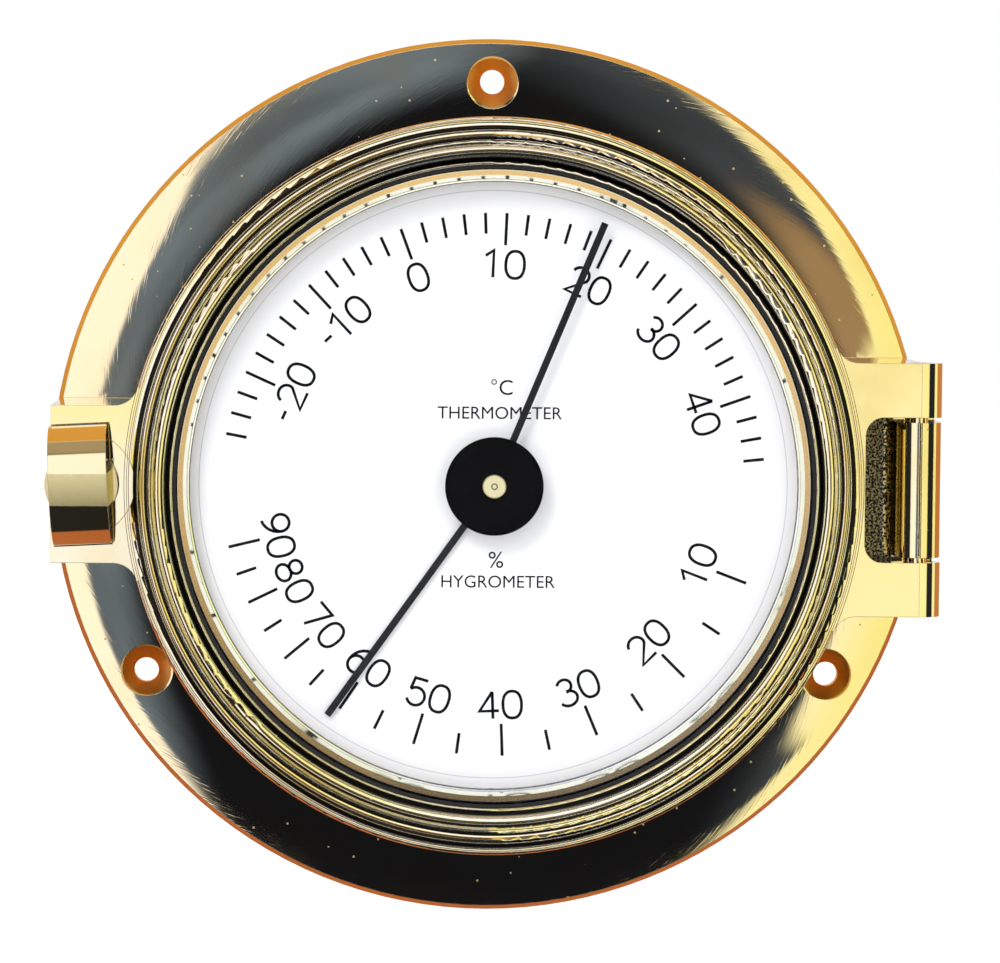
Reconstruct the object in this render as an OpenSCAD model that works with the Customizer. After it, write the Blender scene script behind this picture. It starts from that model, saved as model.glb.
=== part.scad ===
// Wall thermometer and hygrometer in a brass porthole case.
// The wall is the XZ plane, the front faces -Y, and +Z is up.
// The origin is the centre of the case's back face.
// Every module below is drawn flat: x to the right, y up and h out of the wall. facing() then
// stands it on the wall.

/* [Case] */
// Radius of the mounting flange
flange_r = 75; // [72:0.5:92]
// Thickness of the flange where it meets the barrel
flange_t = 4.8; // [4:0.1:8]
// How much lower the flange's front is at its rim than at the barrel
dome_drop = 1.26; // [0.5:0.02:2.5]
// Bevel round the flange's rim
rim_bevel = 0.8; // [0.2:0.1:1.5]
// Height of the case's rim above the wall
case_h = 30; // [24:0.5:40]
// Outer radius of the barrel
barrel_r = 60; // [59.5:0.1:60.5]
// Inner radius of the barrel
barrel_bore_r = 56; // [55.8:0.1:57]
// Thickness of the closed back
back_t = 2.5; // [1.5:0.1:5]
// Height of the ledge's top below the rim
ledge_drop = 3.5; // [3:0.1:6]
// Thickness of the ledge
ledge_t = 2.5; // [1.5:0.1:4]
// Inner radius of the ledge
ledge_r = 51.5; // [50:0.1:53]

/* [Wall screws] */
// Distance of a screw hole from the flange's rim
screw_edge = 7.3; // [5.5:0.1:8]
// Radius of a screw hole
screw_hole_r = 2.1; // [1.5:0.1:2.6]
// Radius of a countersink at the flange's front
countersink_r = 4.4; // [3.5:0.1:5]

/* [Bezel] */
// Outer radius of the bezel
bezel_r = 61; // [60.6:0.1:62]
// Radius of the opening in front of the glass
lip_r = 53.1; // [52.8:0.1:53.4]
// Radius of the bore that holds the glass
glass_bore_r = 55.4; // [55:0.1:56]
// Height of the bezel, from its back face to its tallest moulding
bezel_h = 9.65; // [9:0.05:12]
// Height of the mouldings above the lugs' face
mould_h = 2; // [1.5:0.1:3]
// Gap between the bezel's back and the case's gasket
gasket_gap = 0.05; // [0.02:0.01:0.2]

/* [Glass] */
// Thickness of the glass
glass_t = 1.8; // [1.2:0.1:2.5]
// Thickness of the black gasket in front of the glass
seal_t = 0.2; // [0.1:0.05:0.5]
// Inner radius of that gasket
seal_r = 52.5; // [51.8:0.1:53]
// Inner radius of the ring that holds the glass
sight_r = 50.3; // [48:0.1:51]
// Height of the ring that holds the glass
sight_ring_h = 2.9; // [2.2:0.1:4]

/* [Hinge] */
// Distance of the hinge axis from the dial's axis
hinge_x = 70.4; // [69:0.1:72]
// Radius of the hinge pin
hinge_pin_r = 1.5; // [1:0.1:2]
// Half the height of the two ears together
ear_outer_y = 21; // [18:0.5:26]
// Half the height of the notch between the ears
notch_y = 12; // [10:0.5:15]
// Radius of the case's knuckle
knuckle_r = 3.7; // [3.2:0.1:3.8]
// Gap between the knuckle's end and an ear
knuckle_end_gap = 0.8; // [0.2:0.1:1.5]

/* [Latch] */
// Distance of the latch's axis from the dial's axis
latch_x = 67.9; // [67:0.1:69]
// Distance of the latch lug's end from the dial's axis
lug_end_x = 73.1; // [72.8:0.1:74.5]
// Half the height of the latch lug
lug_y = 13; // [11:0.5:16]
// Radius of the half-moon button
button_r = 9.95; // [8:0.05:12]
// Thickness of the half-moon button
button_t = 9.5; // [7:0.1:11]
// Radius of the collar under the button
collar_r = 6; // [4.5:0.1:8]
// Gap between the turning button and the bezel's tallest moulding
button_gap = 0.45; // [0.2:0.05:2]
// Radius of the latch's shaft
latch_shaft_r = 2.5; // [2:0.1:3]
// Angle at which the locked button stands
latch_angle = 3; // [0:1:6]
// Reach of the dog from the shaft's axis
dog_reach = 6; // [5:0.1:6.4]
// Thickness of the dog
dog_t = 2; // [1.2:0.1:3]
// Depth of the dog's top below the case's rim
dog_drop = 3; // [2.5:0.1:5]
// Thickness of the spring keeper's strip
keeper_t = 0.4; // [0.3:0.05:0.6]

/* [Dial and pointers] */
// Radius of the dial plate
dial_r = 54.5; // [53:0.1:54.9]
// Thickness of the dial plate
dial_t = 1; // [0.5:0.1:1.4]
// Thickness of the carrier behind the dial
carrier_t = 2; // [1.5:0.1:2.5]
// Radius of the post below its shoulder
post_r = 1.5; // [1.3:0.1:2]
// Radius of the post that the pointers turn on
pivot_r = 1.2; // [0.8:0.1:1.25]
// Reach of the pointers from the post's axis
pointer_reach = 47.2; // [40:0.1:50]
// Width of a pointer
pointer_w = 1.15; // [0.6:0.05:1.6]
// Thickness of a pointer
pointer_t = 0.35; // [0.2:0.05:0.5]
// Direction of the temperature pointer, from 3 o'clock
temperature_angle = 67.6; // [6:0.1:169]
// Direction of the humidity pointer, from 3 o'clock
humidity_angle = 234.6; // [194:0.1:339]
// Radius of the black disc over the hub
cover_r = 8.15; // [7.6:0.05:12]
// Thickness of the black disc
cover_t = 0.5; // [0.3:0.1:1]
// Radius of the cap on the post
cap_r = 1.95; // [1.5:0.05:3]
// Height of a coil's strip
coil_h = 1; // [0.8:0.05:1.1]
// Outer radius of a coil
coil_r = 6.2; // [5:0.1:6.4]

/* [Hidden] */

$fn = 96;
past = 1;              // how far a cut runs past the face it opens
run_gap = 0.05;        // radial clearance of a shaft that turns in a bore
part_gap = 0.3;        // clearance between pieces that move past each other
screw_angles = [90, 210, 330];
dial_screw_angles = [30, 150, 270];
carrier_screw_angles = [90, 210, 330];
head_t = 0.8;          // thickness of a small screw's head
head_over = 0.6;       // how far a small screw's head reaches past its shank
slot_w = 0.5;          // a driver's slot in a small screw
slot_d = 0.35;

// The case
dome_r = (pow(flange_r - barrel_r, 2) + pow(dome_drop, 2)) / (2 * dome_drop);
screw_circle_r = flange_r - screw_edge;
gasket_t = 0.3;
rim_w = barrel_r - barrel_bore_r;
vent_r = 1.6;
vent_count = 5;
vent_step = 7;
lug_fillet = 4;
fillet_sink = 0.06;

// Heights of the bezel's faces above the wall
bezel_back = case_h + gasket_t + gasket_gap;
bezel_front = bezel_back + bezel_h;
lug_face = bezel_front - mould_h;
lip_t = 1.4;
lip_back = bezel_front - lip_t;
glass_front = lip_back - seal_t;
glass_back = glass_front - glass_t;
glass_gap = 0.2;
edge_round = 0.5;
cove_r = 1;

// The hinge
ear_sink = 0.03;       // how far the ears' round ends sink into the lug's face
hinge_h = (bezel_back + lug_face) / 2 + ear_sink;
ear_r = lug_face - hinge_h;
notch_x = bezel_r + 0.2;
pin_end_gap = 0.2;
notch_corner_r = 3;
knuckle_y = notch_y - knuckle_end_gap;
saddle_r = 2;
boss_end_r = flange_r - 0.6;

// The latch
spotface_r = collar_r + 2.7;
spotface_d = 0.25;
collar_back = lug_face - spotface_d + run_gap;
button_back = bezel_front + button_gap;
shaft_top = button_back + 4;
dog_top = case_h - dog_drop;
dog_back = dog_top - dog_t;
dog_w = 4.4;
dog_hub_r = latch_shaft_r + 0.9;
dog_screw_r = 1;
dog_screw_l = 4.5;
dog_head_t = 0.9;
dog_slot_w = 0.7;
counterbore_r = latch_shaft_r + 1.7;
counterbore_h = 3.2;
clip_groove_r = latch_shaft_r - 0.7;
clip_t = 0.6;
clip_open = 0.8;       // the clip's mouth as a share of its bore
washer_t = 0.7;
washer_gap = 0.2;
wave_r = 0.3;
washer_h = bezel_back + counterbore_h - washer_t;
clip_h = washer_h - clip_t;
pocket_r = dog_reach + 2 * part_gap;
pocket_end = dog_hub_r + part_gap; // from the latch axis to the pocket's outer wall
pocket_floor = dog_back - 3;
keeper_y = dog_reach + 2 * part_gap;
keeper_w = 4.6;
keeper_floor = dog_back - 7;
keeper_foot = 3.4;
keeper_hook = 1.4;
keeper_gap = 0.35;
keeper_screw_r = 0.9;
keeper_screw_l = 4.5;
keeper_screw_y = keeper_y + keeper_foot / 2 + keeper_t;
keeper_slot_y = keeper_y + keeper_foot + keeper_t + part_gap;

// The movement
ledge_h = case_h - ledge_drop;
carrier_r = barrel_bore_r - part_gap;
carrier_h = ledge_h + carrier_t;
dial_back = case_h;
dial_front = dial_back + dial_t;
pillar_r = 2.4;
dial_screw_x = dial_r - 2.5;
dial_screw_l = 2.5;
air_hole_r = 4;
air_hole_x = 30;
air_hole_count = 6;
carrier_screw_x = (ledge_r + barrel_bore_r) / 2;
small_screw_r = 0.9;
shoulder_r = 3;
shoulder_t = 0.5;
collet_r = 1.9;
play = 0.05;           // axial play of a pointer on the post
low_h = dial_front + shoulder_t + play;
low_collet_h = low_h + pointer_t + play;
collet_t = coil_h + 0.2;
high_h = low_collet_h + collet_t + play;
high_collet_h = high_h + pointer_t + play;
cover_h = high_collet_h + collet_t;
cap_h = cover_h + cover_t;
cap_t = 0.65;
cap_bevel = 0.15;
cap_bore_d = 0.3;
post_top = cap_h + cap_bore_d;
post_washer_t = 0.4;
post_washer_r = 3.8;
washer_back = ledge_h - post_washer_t;
nut_t = 2.4;
nut_r = 3.2;
post_bottom = washer_back - nut_t - 0.5;
tab_t = 0.4;
tab_w = 1.8;
hub_plate_r = coil_r + tab_t + 0.35;
strip_t = 0.2;
coil_turns = 4;
coil_step = 15;        // degrees between two points of a coil

// Stands what is drawn flat on the wall
module facing() {
    rotate([90, 0, 0]) children();
}

// A flat ring
module ring(outer, inner, from, to) {
    translate([0, 0, from]) difference() {
        cylinder(h = to - from, r = outer);
        translate([0, 0, -past]) cylinder(h = to - from + 2 * past, r = inner);
    }
}

// A rod that runs up the wall, from y0 to y1, at x and h
module upright_rod(x, h, y0, y1, r) {
    translate([x, y0, h]) rotate([-90, 0, 0]) cylinder(h = y1 - y0, r = r);
}

// A small slotted screw: its head stands on h, and its shank goes down
module slotted_screw(h, shank_r, shank_l) {
    head_r = shank_r + head_over;
    difference() {
        union() {
            translate([0, 0, h]) cylinder(h = head_t, r = head_r);
            translate([0, 0, h - shank_l]) cylinder(h = shank_l + head_t / 2, r = shank_r, $fn = 48);
        }
        translate([-head_r - past, -slot_w / 2, h + head_t - slot_d])
            cube([2 * (head_r + past), slot_w, slot_d + past]);
    }
}

// Outline of a lug on a round body: half its height is half_y, its end is at end_x, and
// fillets run into the circle of radius body_r. They go fillet_sink into it, so that the
// two round faces cross instead of only touching.
module lug_outline(body_r, end_x, half_y, fillet) {
    centre_x = sqrt(pow(body_r + fillet - fillet_sink, 2) - pow(half_y + fillet, 2));
    share = (body_r - past) / (body_r + fillet);
    difference() {
        union() {
            translate([body_r / 2, -half_y]) square([end_x - body_r / 2, 2 * half_y]);
            for (side = [-1, 1])
                polygon([
                    [centre_x, side * (half_y - past)],
                    [centre_x, side * half_y],
                    [centre_x, side * (half_y + fillet)],
                    [share * centre_x, side * share * (half_y + fillet)],
                    [body_r / 2, side * (half_y - past)]
                ]);
        }
        for (side = [-1, 1])
            translate([centre_x, side * (half_y + fillet)]) circle(r = fillet);
    }
}

// The flange's section, with its front domed by a wide arc
module flange_section() {
    rim_h = flange_t - dome_r + sqrt(pow(dome_r, 2) - pow(flange_r - barrel_r, 2));
    intersection() {
        polygon([
            [0, 0], [flange_r, 0], [flange_r, rim_h - rim_bevel],
            [flange_r - rim_bevel, rim_h + rim_bevel / 5], [flange_r - rim_bevel, flange_t],
            [0, flange_t]
        ]);
        union() {
            square([barrel_r, flange_t]);
            translate([barrel_r, flange_t - dome_r]) circle(r = dome_r);
        }
    }
}

module flange() {
    difference() {
        rotate_extrude($fn = 180) flange_section();
        for (a = screw_angles) rotate(a) translate([screw_circle_r, 0, 0]) {
            translate([0, 0, -past]) cylinder(h = flange_t + 2 * past, r = screw_hole_r);
            translate([0, 0, countersink_h() - countersink_r + screw_hole_r])
                cylinder(h = 2 * countersink_r, r1 = screw_hole_r,
                         r2 = screw_hole_r + 2 * countersink_r);
        }
    }
}

// Height of the domed front where the screw holes are
function countersink_h() =
    flange_t - dome_r + sqrt(pow(dome_r, 2) - pow(screw_circle_r - barrel_r, 2));

// The arm that carries the knuckle, drawn in the plane of x and h
module arm_section() {
    neck_x = hinge_x - knuckle_r;
    difference() {
        union() {
            translate([neck_x, 0]) square([2 * knuckle_r, hinge_h]);
            translate([neck_x - saddle_r, case_h - past]) square([saddle_r + past, saddle_r + past]);
            translate([hinge_x, hinge_h]) circle(r = knuckle_r);
        }
        translate([neck_x - saddle_r, case_h + saddle_r]) circle(r = saddle_r);
    }
}

module hinge_arm() {
    translate([0, knuckle_y, 0]) rotate([90, 0, 0]) linear_extrude(2 * knuckle_y) arm_section();
}

// The pocket for the dog and its keeper, open at the case's rim
module latch_pocket() {
    translate([-latch_x, 0, 0]) {
        translate([0, 0, pocket_floor]) linear_extrude(case_h) intersection() {
            circle(r = pocket_r);
            translate([-pocket_end, -pocket_r])
                square([2 * pocket_r, 2 * pocket_r]);
        }
        slot_y = keeper_slot_y - keeper_y + keeper_hook + part_gap;
        translate([-keeper_w / 2 - part_gap, -keeper_slot_y, keeper_floor])
            cube([keeper_w + 2 * part_gap, slot_y, case_h]);
    }
}

module vents() {
    for (i = [0 : vent_count - 1]) rotate(270 + (i - (vent_count - 1) / 2) * vent_step)
        translate([barrel_bore_r - rim_w, 0, case_h / 2]) rotate([0, 90, 0])
            cylinder(h = 3 * rim_w, r = vent_r, $fn = 48);
}

module case_body() {
    color("darkgoldenrod") facing() difference() {
        union() {
            flange();
            cylinder(h = case_h, r = barrel_r);
            intersection() {
                linear_extrude(case_h) {
                    mirror([1, 0]) lug_outline(barrel_r, lug_end_x, lug_y, lug_fillet);
                    lug_outline(barrel_r, hinge_x + ear_r, ear_outer_y, lug_fillet);
                }
                cylinder(h = case_h, r = boss_end_r);
            }
            hinge_arm();
        }
        translate([0, 0, back_t]) cylinder(h = ledge_h - ledge_t - back_t, r = barrel_bore_r);
        translate([0, 0, back_t]) cylinder(h = case_h, r = ledge_r);
        translate([0, 0, ledge_h]) cylinder(h = case_h, r = barrel_bore_r);
        upright_rod(hinge_x, hinge_h, -flange_r, flange_r, hinge_pin_r);
        latch_pocket();
        vents();
        for (a = carrier_screw_angles) rotate(a)
            translate([carrier_screw_x, 0, ledge_h - ledge_t - past])
                cylinder(h = case_h, r = small_screw_r, $fn = 48);
        translate([-latch_x, -keeper_screw_y, keeper_floor - keeper_screw_l - part_gap])
            cylinder(h = keeper_screw_l + past, r = keeper_screw_r, $fn = 48);
    }
}

module case_gasket() {
    color("#202020") facing()
        ring(barrel_r - rim_w / 5, barrel_bore_r + rim_w / 5, case_h, case_h + gasket_t);
}

module hinge_pin() {
    color("goldenrod") facing()
        upright_rod(hinge_x, hinge_h, pin_end_gap - ear_outer_y, ear_outer_y - pin_end_gap, hinge_pin_r);
}

// The spring strip that the dog slips behind: a foot, a leaf and a hook
module keeper_clip() {
    top = dog_top + keeper_gap;
    color("goldenrod") facing() translate([-latch_x - keeper_w / 2, 0, 0])
        rotate([90, 0, 90]) difference() {
            linear_extrude(keeper_w) keeper_section(top);
            translate([-keeper_screw_y, keeper_floor - past, keeper_w / 2])
                rotate([-90, 0, 0]) cylinder(h = 2 * past + keeper_t, r = keeper_screw_r, $fn = 48);
        }
}

// The strip bent into its foot, leaf and hook: first y, then h
module keeper_section(hook_h) {
    translate([-keeper_y - keeper_t, 0]) {
        translate([-keeper_foot, keeper_floor]) square([keeper_foot + keeper_t, keeper_t]);
        translate([0, keeper_floor]) square([keeper_t, hook_h + keeper_t - keeper_floor]);
        translate([0, hook_h]) square([keeper_hook + keeper_t, keeper_t]);
    }
}

module keeper_screw() {
    color("goldenrod") facing() translate([-latch_x, -keeper_screw_y, 0])
        slotted_screw(keeper_floor + keeper_t, keeper_screw_r, keeper_screw_l);
}

module dial_carrier() {
    color("#2b2b2b") facing() difference() {
        union() {
            translate([0, 0, ledge_h]) cylinder(h = carrier_t, r = carrier_r);
            translate([0, 0, ledge_h]) cylinder(h = dial_back - ledge_h, r = 2 * shoulder_r);
            for (a = dial_screw_angles) rotate(a)
                translate([dial_screw_x, 0, ledge_h]) cylinder(h = dial_back - ledge_h, r = pillar_r);
        }
        translate([0, 0, ledge_h - past]) {
            cylinder(h = case_h, r = post_r);
            for (i = [1 : air_hole_count]) rotate(i * 360 / air_hole_count)
                translate([air_hole_x, 0, 0]) cylinder(h = carrier_t + 2 * past, r = air_hole_r);
            for (a = carrier_screw_angles) rotate(a) translate([carrier_screw_x, 0, 0])
                cylinder(h = case_h, r = small_screw_r + run_gap, $fn = 48);
            for (a = dial_screw_angles) rotate(a)
                translate([dial_screw_x, 0, 0]) cylinder(h = case_h, r = small_screw_r, $fn = 48);
        }
    }
}

module carrier_screws() {
    color("silver") facing() for (a = carrier_screw_angles) rotate(a)
        translate([carrier_screw_x, 0, 0])
            slotted_screw(carrier_h, small_screw_r, carrier_t + ledge_t - part_gap);
}

module dial_plate() {
    color("white") facing() difference() {
        translate([0, 0, dial_back]) cylinder(h = dial_t, r = dial_r);
        translate([0, 0, dial_back - past]) cylinder(h = dial_t + 2 * past, r = post_r);
        for (a = dial_screw_angles) rotate(a) translate([dial_screw_x, 0, dial_back - past])
            cylinder(h = dial_t + 2 * past, r = small_screw_r + run_gap, $fn = 48);
    }
}

module dial_screws() {
    color("silver") facing() for (a = dial_screw_angles) rotate(a)
        translate([dial_screw_x, 0, 0])
            slotted_screw(dial_front, small_screw_r, dial_t + dial_screw_l);
}

module centre_post() {
    color("goldenrod") facing() {
        translate([0, 0, post_bottom]) cylinder(h = dial_front - post_bottom, r = post_r);
        translate([0, 0, dial_front]) cylinder(h = shoulder_t, r = shoulder_r);
        translate([0, 0, dial_front]) cylinder(h = post_top - dial_front, r = pivot_r);
    }
}

module post_washer() {
    color("silver") facing() ring(post_washer_r, post_r, washer_back, ledge_h);
}

module post_nut() {
    color("goldenrod") facing() translate([0, 0, washer_back - nut_t]) difference() {
        cylinder(h = nut_t, r = nut_r, $fn = 6);
        translate([0, 0, -past]) cylinder(h = nut_t + 2 * past, r = post_r);
    }
}

module middle_collet() {
    color("goldenrod") facing() ring(collet_r, pivot_r, low_collet_h, low_collet_h + collet_t);
}

module upper_collet() {
    color("goldenrod") facing() ring(collet_r, pivot_r, high_collet_h, high_collet_h + collet_t);
}

module hub_cover_disc() {
    color("#151515") facing() ring(cover_r, pivot_r, cover_h, cover_h + cover_t);
}

// The cap has a blind hole that takes the end of the post
module post_cap() {
    color("gold") facing() translate([0, 0, cap_h]) difference() {
        union() {
            cylinder(h = cap_t - cap_bevel, r = cap_r);
            translate([0, 0, cap_t - cap_bevel])
                cylinder(h = cap_bevel, r1 = cap_r, r2 = cap_r - cap_bevel);
        }
        translate([0, 0, -past]) cylinder(h = past + cap_bore_d, r = pivot_r);
    }
}

// A point of a coil, t turns out from its inner end
function coil_point(t, inner, outer, turns, side) =
    let (r = inner + (outer - inner) * t / turns + side * strip_t)
    [r * cos(360 * t), r * sin(360 * t)];

// A flat coil whose outer end lies in the direction of end_angle
module coil(end_angle, from) {
    steps = coil_turns * 360 / coil_step;
    inner = collet_r + strip_t / 2;
    outer = coil_r - strip_t;
    out = [for (i = [0 : steps]) coil_point(i * coil_step / 360, inner, outer, coil_turns, 1)];
    back = [for (i = [steps : -1 : 0]) coil_point(i * coil_step / 360, inner, outer, coil_turns, 0)];
    translate([0, 0, from]) rotate(end_angle) linear_extrude(coil_h) polygon(concat(out, back));
}

module humidity_coil() {
    color("peru") facing() coil(humidity_angle + 180, low_collet_h + play);
}

module bimetal_coil() {
    color("silver") facing() coil(temperature_angle + 180, high_collet_h + play);
}

// A pointer: a plate round the post, a thin arm and a tab that takes the coil's outer end
module pointer(angle, from) {
    translate([0, 0, from]) rotate(angle) difference() {
        union() {
            cylinder(h = pointer_t, r = hub_plate_r);
            translate([0, -pointer_w / 2, 0]) cube([pointer_reach, pointer_w, pointer_t]);
            translate([-coil_r - tab_t, -tab_w / 2, 0]) cube([tab_t, tab_w, pointer_t + coil_h]);
        }
        translate([0, 0, -past]) cylinder(h = pointer_t + 2 * past, r = pivot_r + run_gap);
    }
}

module hygrometer_pointer() {
    color("#101010") facing() pointer(humidity_angle, low_h);
}

module thermometer_pointer() {
    color("#101010") facing() pointer(temperature_angle, high_h);
}

// The bezel's section: a plain ring, its beads and coves, and the lip in front of the glass
module bezel_section() {
    top = bezel_front;
    outer_bead_r = bezel_r - 1.95;
    difference() {
        union() {
            polygon([
                [glass_bore_r, bezel_back], [bezel_r, bezel_back], [bezel_r, lug_face - edge_round],
                [bezel_r - edge_round, lug_face], [outer_bead_r, lug_face],
                [outer_bead_r, top - 0.75], [lip_r + 1.4, top - 0.3], [lip_r + 0.6, top - 0.9],
                [lip_r, top - 0.9], [lip_r, lip_back], [glass_bore_r, lip_back]
            ]);
            translate([outer_bead_r, lug_face]) square([cove_r, cove_r]);
            translate([bezel_r - edge_round, lug_face - edge_round]) circle(r = edge_round, $fn = 48);
            translate([outer_bead_r, top - 0.85]) circle(r = 0.25, $fn = 48);
            translate([bezel_r - 3, top - 0.95]) circle(r = 0.75, $fn = 64);
            translate([bezel_r - 4.25, top - 0.65]) circle(r = 0.4, $fn = 48);
            translate([bezel_r - 5.6, top - 1.1]) circle(r = 1.1, $fn = 64);
            translate([lip_r + 0.25, top - 0.85]) circle(r = 0.25, $fn = 48);
        }
        translate([outer_bead_r + cove_r, lug_face + cove_r]) circle(r = cove_r, $fn = 64);
        square([glass_bore_r, lip_back]);
    }
}

// The two ears: flat plates that end in a half round about the hinge axis
module ears() {
    difference() {
        union() {
            translate([0, 0, bezel_back]) linear_extrude(lug_face - bezel_back)
                lug_outline(bezel_r, hinge_x, ear_outer_y, lug_fillet);
            upright_rod(hinge_x, hinge_h, -ear_outer_y, ear_outer_y, ear_r);
        }
        translate([notch_x + notch_corner_r, -notch_y, 0])
            cube([flange_r, 2 * notch_y, 2 * bezel_front]);
        translate([notch_x, -notch_y + notch_corner_r, 0])
            cube([flange_r, 2 * (notch_y - notch_corner_r), 2 * bezel_front]);
        for (side = [-1, 1])
            translate([notch_x + notch_corner_r, side * (notch_y - notch_corner_r), 0])
                cylinder(h = 2 * bezel_front, r = notch_corner_r);
        upright_rod(hinge_x, hinge_h, -flange_r, flange_r, hinge_pin_r + run_gap);
    }
}

module latch_lug() {
    translate([0, 0, bezel_back]) linear_extrude(lug_face - bezel_back)
        mirror([1, 0]) lug_outline(bezel_r, lug_end_x, lug_y, lug_fillet);
}

module bezel_frame() {
    color("goldenrod") facing() difference() {
        union() {
            rotate_extrude($fn = 180) bezel_section();
            difference() {
                union() {
                    ears();
                    latch_lug();
                }
                cylinder(h = 2 * bezel_front, r = bezel_r - 2.5);
            }
        }
        translate([-latch_x, 0, 0]) {
            cylinder(h = 2 * bezel_front, r = latch_shaft_r + run_gap);
            translate([0, 0, lug_face - spotface_d])
                cylinder(h = 2 * spotface_d, r = spotface_r);
            translate([0, 0, bezel_back - past]) cylinder(h = counterbore_h + past, r = counterbore_r);
        }
    }
}

module glass() {
    color("lightblue", 0.35) facing() translate([0, 0, glass_back])
        cylinder(h = glass_t, r = glass_bore_r - glass_gap);
}

module glass_gasket() {
    color("#181818") facing() ring(glass_bore_r - glass_gap, seal_r, glass_front, glass_front + seal_t);
}

// The ring behind the glass. Its polished inner cone shows through the glass, and its back has
// two slots for a spanner.
module glass_retaining_ring() {
    back = glass_back - sight_ring_h;
    color("darkkhaki") facing() difference() {
        rotate_extrude($fn = 180) polygon([
            [sight_r, back + 0.4], [sight_r, glass_back - 1.5], [sight_r + 0.4, glass_back - 1.4],
            [sight_r + 1.05, glass_back - 0.3], [seal_r, glass_back - 0.15], [seal_r, glass_back],
            [glass_bore_r, glass_back], [glass_bore_r, back], [sight_r + 0.4, back]
        ]);
        for (side = [-1, 1])
            translate([side * (glass_bore_r - 1.5) - 1, -1.25, back - past]) cube([2, 2.5, 1 + past]);
    }
}

// A thin washer pressed into waves between the lug and the clip
module wave_washer() {
    color("silver") facing() translate([-latch_x, 0, 0]) difference() {
        ring(counterbore_r - 0.5, latch_shaft_r + washer_gap, washer_h + 0.1, washer_h + washer_t);
        for (a = [0, 60, 120]) rotate(a) translate([-counterbore_r, 0, washer_h])
            rotate([0, 90, 0]) cylinder(h = 2 * counterbore_r, r = wave_r, $fn = 32);
    }
}

// Turns a piece of the latch to the angle at which it stands
module on_latch_axis() {
    facing() translate([-latch_x, 0, 0]) rotate(latch_angle) children();
}

// The half-moon button: half a disc that stands on its flat, with a blind hole for the shaft
module turn_button() {
    color("goldenrod") on_latch_axis() translate([0, 0, button_back]) difference() {
        intersection() {
            translate([-button_t / 2, 0, 0]) rotate([0, 90, 0]) cylinder(h = button_t, r = button_r);
            translate([-button_t, -button_r - past, 0])
                cube([2 * button_t, 2 * (button_r + past), button_r + past]);
        }
        translate([0, 0, -past]) cylinder(h = shaft_top - button_back + past, r = latch_shaft_r);
    }
}

module button_collar() {
    color("goldenrod") on_latch_axis() ring(collar_r, latch_shaft_r, collar_back, button_back);
}

// The shaft, with a groove for the clip and a hole for the dog's screw
module latch_shaft() {
    color("darkgoldenrod") on_latch_axis() difference() {
        translate([0, 0, dog_back]) cylinder(h = shaft_top - dog_back, r = latch_shaft_r);
        ring(latch_shaft_r + past, clip_groove_r, clip_h, clip_h + clip_t);
        translate([0, 0, dog_back - past]) cylinder(h = dog_screw_l + past, r = dog_screw_r, $fn = 48);
    }
}

// The dog points down when the latch is locked
module latch_dog() {
    color("darkgoldenrod") on_latch_axis() translate([0, 0, dog_back]) difference() {
        union() {
            cylinder(h = dog_t, r = dog_hub_r);
            intersection() {
                cylinder(h = dog_t, r = dog_reach);
                translate([-dog_w / 2, -2 * dog_reach, 0]) cube([dog_w, 2 * dog_reach, dog_t]);
            }
        }
        translate([0, 0, -past]) cylinder(h = dog_t + 2 * past, r = latch_shaft_r);
    }
}

module dog_screw() {
    color("silver") on_latch_axis() translate([0, 0, dog_back]) difference() {
        union() {
            translate([0, 0, -dog_head_t]) cylinder(h = dog_head_t, r = dog_hub_r - part_gap);
            translate([0, 0, -dog_head_t / 2])
                cylinder(h = dog_head_t / 2 + dog_screw_l, r = dog_screw_r, $fn = 48);
        }
        translate([-dog_hub_r - past, -dog_slot_w / 2, -dog_head_t - past])
            cube([2 * (dog_hub_r + past), dog_slot_w, slot_d + past]);
    }
}

module retaining_clip() {
    color("silver") on_latch_axis() difference() {
        ring(counterbore_r - 0.6, clip_groove_r, clip_h, clip_h + clip_t);
        translate([0, -clip_groove_r * clip_open, clip_h - past])
            cube([counterbore_r, 2 * clip_groove_r * clip_open, clip_t + 2 * past]);
    }
}

case_body();
case_gasket();
hinge_pin();
keeper_clip();
keeper_screw();
dial_carrier();
carrier_screws();
dial_plate();
dial_screws();
centre_post();
post_washer();
post_nut();
middle_collet();
upper_collet();
hub_cover_disc();
post_cap();
humidity_coil();
bimetal_coil();
hygrometer_pointer();
thermometer_pointer();
bezel_frame();
glass();
glass_gasket();
glass_retaining_ring();
wave_washer();
turn_button();
button_collar();
latch_shaft();
latch_dog();
dog_screw();
retaining_clip();
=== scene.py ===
# %% [markdown]
# # A brass wall hygrometer
# The object is a porthole-style case of polished brass with one white dial. The upper scale is a
# thermometer and the lower one a hygrometer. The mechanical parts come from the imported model, at
# their real size, and this file gives them their finish, prints the dial, and lights the whole.
# Everything is in metres. The wall is the XZ plane, the front faces -Y, and the dial's axis is Y.

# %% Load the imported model
import bmesh
import bpy
import math
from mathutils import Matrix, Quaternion, Vector


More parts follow.
